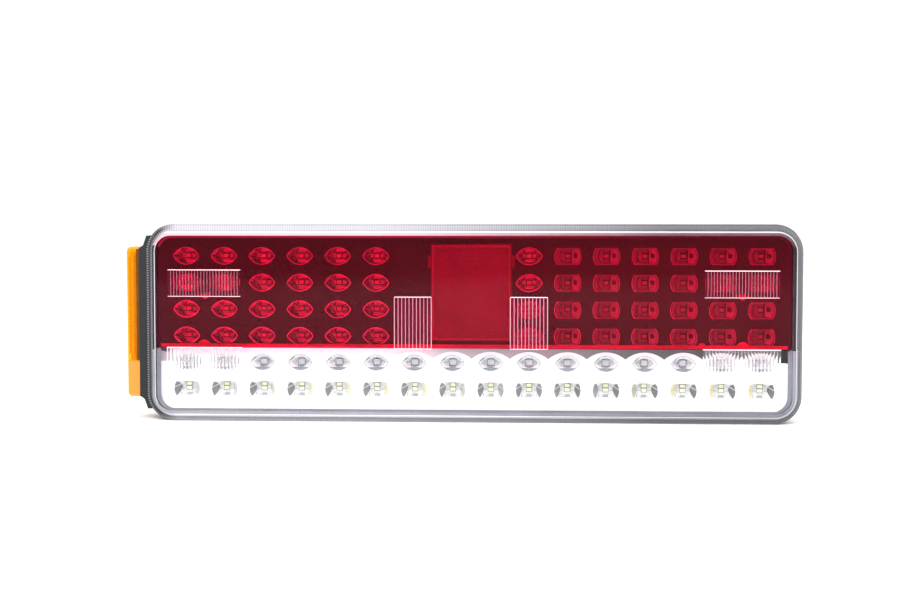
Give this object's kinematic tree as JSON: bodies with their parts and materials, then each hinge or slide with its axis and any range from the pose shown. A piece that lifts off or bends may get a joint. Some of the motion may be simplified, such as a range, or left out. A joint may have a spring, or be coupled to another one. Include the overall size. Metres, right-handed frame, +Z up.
{
  "type": "rear combination lamp",
  "caption": "Long rear vehicle lamp with a rounded red and clear lens, cup-shaped LED reflectors, a centre reflex reflector, an end side marker, rear studs and a socket.",
  "frame": {"origin": "centre of the four-stud pattern, on the mounting plane at the rubber pads' rear faces", "axes": "+X along the lamp, away from the side marker; +Y out of the back, along the studs; +Z up; the lens faces -Y"},
  "size_m": [0.4456, 0.0706, 0.13],
  "materials": {
    "black_plastic": "satin, moulded ABS",
    "clear_lens": "gloss, clear acrylic",
    "red_lens": "gloss, red acrylic",
    "seal_rubber": "matt",
    "dark_bezel": "gloss, dark moulding",
    "white_plastic": "satin white moulding",
    "chrome_cups": "vacuum metallised plastic",
    "screw_steel": "zinc plated",
    "reflex_red": "moulded prisms",
    "reflex_back": "gloss",
    "board_white": "white solder mask",
    "led_white": "white package, clear gel",
    "led_amber": "white package, amber gel",
    "led_phosphor": "white package, yellow phosphor",
    "chip_black": "epoxy",
    "capacitor_can": "satin can",
    "header_nylon": "natural nylon",
    "wire_red": "PVC insulation",
    "contact_brass": "turned brass",
    "membrane_white": "porous PTFE",
    "stud_zinc": "zinc plated",
    "amber_lens": "gloss, amber acrylic",
    "amber_reflex": "moulded prisms",
    "wire_black": "PVC insulation"
  },
  "bodies": {
    "root": {"housing": "black_plastic", "lens_clear": "clear_lens", "lens_red": "red_lens", "lens_seal": "seal_rubber", "upper_bezel": "dark_bezel", "lower_bezel": "white_plastic", "upper_reflector": "chrome_cups", "lower_reflector": "chrome_cups", "reflector_screws": "screw_steel", "reflex_reflector": "reflex_red", "reflex_backing": "reflex_back", "circuit_board": "board_white", "board_screws": "screw_steel", "tail_leds": "led_white", "turn_leds": "led_amber", "fog_leds": "led_white", "reverse_leds": "led_phosphor", "board_resistors": "chip_black", "driver_chips": "chip_black", "capacitors": "capacitor_can", "board_header": "header_nylon", "inner_wires": "wire_red", "inlet_socket": "black_plastic", "inlet_gasket": "seal_rubber", "inlet_contacts": "contact_brass", "inlet_screws": "screw_steel", "vent_cap": "black_plastic", "vent_membrane": "membrane_white", "mounting_studs": "stud_zinc", "stud_seals": "seal_rubber", "stud_nuts": "stud_zinc", "mounting_pads": "seal_rubber", "marker_base": "black_plastic", "marker_gasket": "seal_rubber", "marker_lens": "amber_lens", "marker_reflex": "amber_reflex", "marker_board": "board_white", "marker_leds": "led_amber", "marker_screws": "screw_steel", "marker_wires": "wire_black"}
  },
  "joints": []
}
